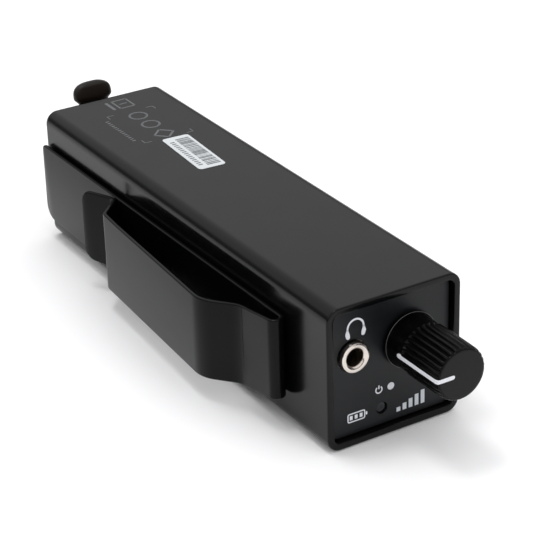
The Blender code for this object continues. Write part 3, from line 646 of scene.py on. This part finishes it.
def makeSigns():
    # Headphones, an off dot, a power sign, a battery and a rising row of bars.
    p, w = signPlace, signSize
    x, z, r = p["headphoneX"], p["headphoneZ"], p["bandRadius"]
    band = circlePath(x, z + 0.1, r, -8, 188)
    leftCup = [(x - r - 0.02, z + 0.1), (x - r - 0.05, z - 0.8), (x - r + 0.2, z - 1.9)]
    rightCup = [(x + r + 0.02, z + 0.1), (x + r + 0.05, z - 0.8), (x + r - 0.2, z - 1.9)]
    headphones = [barOnPanel(band, w["band"]), barOnPanel(leftCup, w["cup"]), barOnPanel(rightCup, w["cup"])]
    addPiece("headphoneSign", joined("headphoneSign", headphones), "white", "case")

    addPiece("offDot", dotOnPanel(p["dotX"], p["dotZ"], p["dotRadius"]), "white", "case")
    x, z = p["powerX"], p["powerZ"]
    power = [barOnPanel(circlePath(x, z, w["powerRadius"], 125, 415, 30), w["powerLine"]),
             barOnPanel([(x, z + 0.15), (x, z + 0.95)], w["powerLine"])]
    addPiece("powerSign", joined("powerSign", power), "white", "case")

    x, z = p["batteryX"], p["batteryZ"]
    outline = roundedPath([(x - 2.0, z - 0.85, 0.3), (x + 1.7, z - 0.85, 0.3), (x + 1.7, z + 0.85, 0.3),
                           (x - 2.0, z + 0.85, 0.3)], 5, closed=True)
    outline = np.concatenate([outline, outline[:1]])
    battery = [barOnPanel(outline, w["batteryLine"]),
               barOnPanel([(x + 2.1, z - 0.35), (x + 2.1, z + 0.35)], w["batteryTip"])]
    for k in range(w["batteryCells"]):
        barX = x - 1.3 + w["cellPitch"] * k
        battery.append(barOnPanel([(barX, z - 0.42), (barX, z + 0.42)], w["cellWidth"], False))
    addPiece("batterySign", joined("batterySign", battery), "white", "case")

    level = []
    foot = p["levelZ"]
    for k in range(w["levelBars"]):
        barX = p["levelX"] + w["levelPitch"] * k
        top = foot + w["levelFirst"] + w["levelRise"] * k
        level.append(barOnPanel([(barX, foot), (barX, top)], w["levelWidth"], False))
    addPiece("levelSign", joined("levelSign", level), "greyInk", "case")


makeSigns()
print("signs made")


# Label and laser marks on top

labelShape = {"x": 1.4, "y": 19.1, "width": 6.2, "length": 18.2, "turn": -3.2, "corner": 0.8,
              "paper": (0.02, 0.11), "ink": (0.09, 0.13), "seed": 7,
              "barMargin": 1.3, "barStep": 0.14, "barEnds": (-0.6, 2.5), "gap": 0.16, "gapStep": 0.12,
              "tickFrom": 2.2, "tickUpTo": 2.4, "tickEnds": (-1.3, -2.3), "tickWidth": 0.42,
              "tickPitch": 0.95}


def onTop(flat, lift):
    # Flat places (x, y) at a height above the sleeve's top.
    return np.concatenate([flat, np.full((*flat.shape[:-1], 1), sleeveTop + lift)], -1)


def slabOnTop(outline, low, high):
    # A thin slab with a closed outline: the outline at two heights, capped on both.
    return sweep("slab", np.stack([onTop(outline, low), onTop(outline, high)]), sharpAngle=30.0)


def barOnTop(start, stop, width, low, high):
    start, stop = np.array(start, float), np.array(stop, float)
    ahead = (stop - start) / np.linalg.norm(stop - start)
    side = np.array([-ahead[1], ahead[0]]) * width / 2
    return slabOnTop(np.array([start - side, stop - side, stop + side, start + side]), low, high)


def onLabel(points):
    # Places measured from the label's own middle, turned with it.
    l = labelShape
    turn = math.radians(l["turn"])
    points = np.atleast_2d(np.asarray(points, float))
    x = l["x"] + points[:, 0] * math.cos(turn) - points[:, 1] * math.sin(turn)
    y = l["y"] + points[:, 0] * math.sin(turn) + points[:, 1] * math.cos(turn)
    return np.stack([x, y], -1)


def makeLabel():
    l = labelShape
    w, h, r = l["width"] / 2, l["length"] / 2, l["corner"]
    outline = onLabel(roundedPath([(w, -h, r), (w, h, r), (-w, h, r), (-w, -h, r)], 6, closed=True))
    addPiece("labelPaper", slabOnTop(outline, *l["paper"]), "paper", "case", ["serial_label"])
    chance = np.random.default_rng(l["seed"])
    bars = []
    place = -h + l["barMargin"]
    while place < h - l["barMargin"]:
        width = l["barStep"] + l["barStep"] * chance.integers(0, 3)
        start, stop = onLabel([(x, place + width / 2) for x in l["barEnds"]])
        bars.append(barOnTop(start, stop, width, *l["ink"]))
        place += width + l["gap"] + l["gapStep"] * chance.integers(0, 3)
    place = -h + l["tickFrom"]
    while place < h - l["tickUpTo"]:
        start, stop = onLabel([(x, place) for x in l["tickEnds"]])
        bars.append(barOnTop(start, stop, l["tickWidth"], *l["ink"]))
        place += l["tickPitch"]
    addPiece("labelBars", joined("labelBars", bars), "labelInk", "case")


# Places on top are (x, y). A bracket also holds which way its two arms go.
laserShape = {
    "height": (-0.01, 0.012),
    "brackets": [(-4.7, 46.6, 1, -1), (6.5, 46.5, -1, -1), (6.9, 28.9, -1, 1), (-4.7, 29.1, 1, 1)],
    "bracketArm": 1.6, "bracketWidth": 0.22,
    "rings": [(1.3, 43.3), (1.3, 37.6)], "ringRadius": 1.9, "ringWidth": 0.52, "ringOverlap": 0.1,
    "diamond": [(-1.1, 31.5), (1.2, 33.8), (3.5, 31.5), (1.2, 29.2), (-1.1, 31.5)], "diamondWidth": 0.48,
    "sideBar": [(-1.3, 53.8), (-1.3, 49.2)], "sideBarWidth": 0.7,
    "block": [(0.1, 53.8), (3.6, 53.8), (3.6, 49.2), (0.1, 49.2), (0.1, 53.8)], "blockWidth": 0.42,
    "innerBar": [(0.9, 51.5), (2.8, 51.5)], "innerBarWidth": 0.4,
    "ticks": 14, "tickEnds": (-6.4, -5.6), "tickY": 44.0, "tickPitch": 0.95, "tickWidth": 0.4,
}


def makeLaserMarks():
    # Faint generic marks: four brackets, two rings, a diamond, a bar beside a plain block, and a row of ticks.
    m = laserShape
    marks = []

    def markAlong(corners, width, overlap=0.0):
        for start, stop in zip(corners[:-1], corners[1:]):
            start, stop = np.array(start), np.array(stop)
            marks.append(barOnTop(start, stop + overlap * (stop - start), width, *m["height"]))

    for x, y, goX, goY in m["brackets"]:
        markAlong([(x, y), (x + m["bracketArm"] * goX, y)], m["bracketWidth"])
        markAlong([(x, y), (x, y + m["bracketArm"] * goY)], m["bracketWidth"])
    for x, y in m["rings"]:
        markAlong(circlePath(x, y, m["ringRadius"], 0, 360, 33), m["ringWidth"], m["ringOverlap"])
    for name in ("diamond", "sideBar", "block", "innerBar"):
        markAlong(m[name], m[name + "Width"])
    for k in range(m["ticks"]):
        markAlong([(x, m["tickY"] - m["tickPitch"] * k) for x in m["tickEnds"]], m["tickWidth"])
    addPiece("laserMarks", joined("laserMarks", marks), "laserMark", "case")


makeLabel()
makeLaserMarks()
print("label and laser marks made")


# Release lever

leverShape = {"neck": 3.6, "pad": 4.62, "armThick": 1.2, "padThick": 2.5, "x": -0.35, "elbowY": 61.6,
              "elbowUp": 0.1, "elbowRadius": 1.9, "tipY": 62.7, "tipBelow": 0.03, "pastPin": 0.9,
              "padFromZ": 27.0, "padOver": 1.5, "narrowOver": 3.4, "narrowPower": 3.2, "narrowRoot": 0.45,
              "thinOver": 1.1, "leastThick": 0.04, "leastWidth": 0.4, "sidePower": 0.35, "deepPower": 0.8,
              "spacing": 0.3, "endSpacing": 2.2}


def makeLever():
    # A path along the arm and up into the pad; sections are rounded rectangles whose width and thickness
    # change along it, and shrink to a round end at the top of the pad.
    s = leverShape
    pinLow, pinHigh = ownPlace("lever_pin")
    pinY, pinZ = (pinLow[1] + pinHigh[1]) / 2, (pinLow[2] + pinHigh[2]) / 2
    padTop = ownPlace("release_lever")[1][2] - s["tipBelow"]
    path = roundedPath([(pinY - s["pastPin"], pinZ, 0), (s["elbowY"], pinZ + s["elbowUp"], s["elbowRadius"]),
                        (s["tipY"], padTop, 0)], 10)
    path = spread(path, s["spacing"])
    length = lengthAlong(path)
    end = length[-1]
    along = inOrder(length, end - s["endSpacing"] * (1 - np.cos(np.linspace(0, 1.5, 12))))
    path = pointsAt(path, length, along)
    widen = smoothStep((path[:, 1] - s["padFromZ"]) / s["padOver"])
    top = np.clip((end - along) / s["narrowOver"], 0, 1)
    width = s["neck"] + (s["pad"] - s["neck"]) * widen
    width = width * (1 - (1 - top) ** s["narrowPower"]) ** s["narrowRoot"]
    thick = (s["armThick"] + (s["padThick"] - s["armThick"]) * widen) / 2
    thick = thick * (1 - (1 - np.clip((end - along) / s["thinOver"], 0, 1)) ** 2) ** 0.5
    thick, width = np.maximum(thick, s["leastThick"]), np.maximum(width, s["leastWidth"])
    normal = across(path)
    angle = np.linspace(0, 2 * np.pi, 40, endpoint=False)
    sideways = np.sign(np.cos(angle)) * np.abs(np.cos(angle)) ** s["sidePower"]
    deep = np.sign(np.sin(angle)) * np.abs(np.sin(angle)) ** s["deepPower"]
    x = width[:, None] * sideways
    flat = path[:, None, :] + normal[:, None, :] * (thick[:, None] * deep)[..., None]
    mesh = sweep("leverPad", np.stack([s["x"] + x, flat[..., 0], flat[..., 1]], -1), sharpAngle=50.0)
    addPiece("leverPad", mesh, "pad", "release_latch", ["release_lever"])


makeLever()
print("release lever made")


# Nodes that keep their shape, but get small rounds along their edges

# Each node: finish, slot and the width of its rounds in millimetres.
roundedNodes = {
    "front_panel": ("panel", "panel", 0.08), "rear_panel": ("panel", "panel", 0.08),
    "battery_door": ("plastic", "plastic", 0.2), "mode_switch_slider": ("plastic", "plastic", 0.08),
    "socket_core": ("plastic", "plastic", 0.1), "socket_shell": ("plastic", "plastic", 0.15),
    "panel_screw_1": ("blackSteel", "black_steel", 0.06),
    "panel_screw_2": ("blackSteel", "black_steel", 0.06),
    "socket_contact_1": ("gold", "contact", 0.1), "socket_contact_2": ("gold", "contact", 0.1),
    "socket_contact_3": ("gold", "contact", 0.1), "lever_pin": ("steel", "steel", 0.08),
}


edgeShape = {"mergeWithin": 0.000001, "flatWithin": 0.8, "sharpFrom": 32.0, "roundFrom": 35.0, "segments": 2}


def roundEdges(name, material, width):
    # A copy of the node with its flat faces merged and each sharp edge cut to a round of the given width.
    node = nodes[name]
    work = bmesh.new()
    work.from_mesh(node.data)
    work.transform(node.matrix_world)
    bmesh.ops.remove_doubles(work, verts=work.verts, dist=edgeShape["mergeWithin"])
    flat = math.radians(edgeShape["flatWithin"])
    bmesh.ops.dissolve_limit(work, angle_limit=flat, verts=work.verts, edges=work.edges)
    bmesh.ops.recalc_face_normals(work, faces=work.faces)
    words = name.split("_")
    label = words[0] + "".join(word.capitalize() for word in words[1:])
    mesh = bpy.data.meshes.new(label)
    work.to_mesh(mesh)
    work.free()
    mesh.shade_smooth()
    mesh.set_sharp_from_angle(angle=math.radians(edgeShape["sharpFrom"]))
    piece = addPiece(label, mesh, material, node["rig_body"], [name])
    bevel = piece.modifiers.new("rounds", "BEVEL")
    bevel.width = width * mm
    bevel.segments = edgeShape["segments"]
    bevel.limit_method = "ANGLE"
    bevel.angle_limit = math.radians(edgeShape["roundFrom"])


for name, (material, slot, width) in roundedNodes.items():
    roundEdges(name, material, width)
print("edges rounded")


# Finishes for the nodes that keep their own shape

nodeFinish = {
    "plastic": ["headphone_jack_body", "battery_tray", "amplifier_chip", "power_coil"],
    "steel": ["volume_pot_body", "volume_shaft", "mode_switch_body", "lever_spring"],
    "blackSteel": ["volume_pot_bushing", "volume_pot_washer", "volume_pot_nut", "clip_screw_1",
                   "clip_screw_2"],
    "gold": ["jack_tip_contact", "jack_ring_contact", "battery_bridge", "battery_contact_lower",
             "battery_contact_upper", "battery_spring_front", "battery_spring_rear"],
    "board": ["front_board", "main_board"],
    "can": ["capacitor_1", "capacitor_2", "capacitor_3"],
    "cell": ["battery_lower", "battery_upper"],
    "redLead": ["battery_lead_red"],
    "blackLead": ["battery_lead_black", "input_lead_1", "input_lead_2", "input_lead_3"],
}
for finishName, names in nodeFinish.items():
    for name in names:
        slots = nodes[name].data.materials
        slots.clear()
        slots.append(finishes[finishName])
print("nodes finished")


# Floor, light and camera

# The world grows from "low" near the horizon to "world" above, between two heights (0 level, 1 overhead).
studio = {"floor": (0.94, 0.94, 0.95), "floorHalf": 3.0, "floorZ": -0.0002, "floorRoughness": 0.9,
          "floorSpecular": 0.1, "world": 0.93, "low": 0.22, "lowUpTo": 0.19, "worldFrom": 0.45}

# Each light: place, target, size and power, and whether it shows in reflections.
lights = {
    "overhead": ((60, 60, 420), (0, 0, 15), (0.5, 0.5), 0.55, False),
    "front": ((120, -420, 200), (0, -50, 15), (0.3, 0.3), 0.35, False),
    "glint": ((-60, 30, 430), (0, 0, 15), (0.11, 0.11), 0.42, True),
}


def makeFloor():
    mesh = bpy.data.meshes.new("floor")
    size = studio["floorHalf"]
    corners = [(-size, -size, 0), (size, -size, 0), (size, size, 0), (-size, size, 0)]
    mesh.from_pydata(corners, [], [(0, 1, 2, 3)])
    floor = bpy.data.objects.new("floor", mesh)
    floor.location.z = studio["floorZ"]
    bpy.context.scene.collection.objects.link(floor)
    material, tree, shader = newMaterial("paleFloor")
    shader.inputs["Roughness"].default_value = studio["floorRoughness"]
    shader.inputs["Specular IOR Level"].default_value = studio["floorSpecular"]
    shader.inputs["Base Color"].default_value = (*studio["floor"], 1.0)
    mesh.materials.append(material)


def makeWorld():
    world = bpy.data.worlds.new("studio")
    world.use_nodes = True
    bpy.context.scene.world = world
    tree = world.node_tree
    background = tree.nodes["Background"]
    coordinates = tree.nodes.new("ShaderNodeTexCoord")
    split = tree.nodes.new("ShaderNodeSeparateXYZ")
    ramp = tree.nodes.new("ShaderNodeValToRGB")
    ramp.color_ramp.interpolation = "EASE"
    stops = ramp.color_ramp.elements
    stops[0].position = 0.0
    stops[1].position = 1.0
    for place, shade in ((studio["lowUpTo"], "low"), (studio["worldFrom"], "world")):
        stops.new(place).color = (studio[shade],) * 3 + (1.0,)
    stops[0].color = (studio["low"],) * 3 + (1.0,)
    stops[-1].color = (studio["world"],) * 3 + (1.0,)
    tree.links.new(coordinates.outputs["Generated"], split.inputs["Vector"])
    tree.links.new(split.outputs["Z"], ramp.inputs["Fac"])
    tree.links.new(ramp.outputs["Color"], background.inputs["Color"])


def areaLight(name, place, target, size, power, mirrored):
    light = bpy.data.lights.new(name, "AREA")
    light.shape = "RECTANGLE"
    light.size, light.size_y = size
    light.energy = power
    lamp = bpy.data.objects.new(name, light)
    lamp.visible_glossy = mirrored
    bpy.context.scene.collection.objects.link(lamp)
    lamp.location = inWorld(place)
    direction = Vector(inWorld(target) - inWorld(place))
    lamp.rotation_euler = direction.to_track_quat("-Z", "Y").to_euler()


cameraShape = {"lens": 136.25, "azimuth": -30.76, "elevation": 26.77, "roll": -1.772, "distance": 414.5,
               "targetZ": 14.0, "right": 6.07, "up": -2.756, "sensor": 36.0, "nearest": 0.01}


def makeCamera():
    c = cameraShape
    azimuth, elevation, roll = (math.radians(c[k]) for k in ("azimuth", "elevation", "roll"))
    back = np.array([math.sin(azimuth) * math.cos(elevation), -math.cos(azimuth) * math.cos(elevation),
                     math.sin(elevation)])
    level = np.array([math.cos(azimuth), math.sin(azimuth), 0.0])
    upright = np.cross(back, level)
    right = math.cos(roll) * level + math.sin(roll) * upright
    up = -math.sin(roll) * level + math.cos(roll) * upright
    place = np.array([0, 0, c["targetZ"]]) + back * c["distance"] + right * c["right"] + up * c["up"]
    camera = bpy.data.objects.new("camera", bpy.data.cameras.new("camera"))
    camera.data.lens = c["lens"]
    camera.data.sensor_width = c["sensor"]
    camera.data.clip_start = c["nearest"]
    bpy.context.scene.collection.objects.link(camera)
    matrix = Matrix([[right[i], up[i], back[i], inWorld(place)[i]] for i in range(3)] + [[0, 0, 0, 1]])
    camera.matrix_world = matrix
    bpy.context.scene.camera = camera


makeFloor()
makeWorld()
for name, plan in lights.items():
    areaLight(name, *plan)
makeCamera()
bpy.context.scene.view_settings.view_transform = "Standard"
print("studio made")
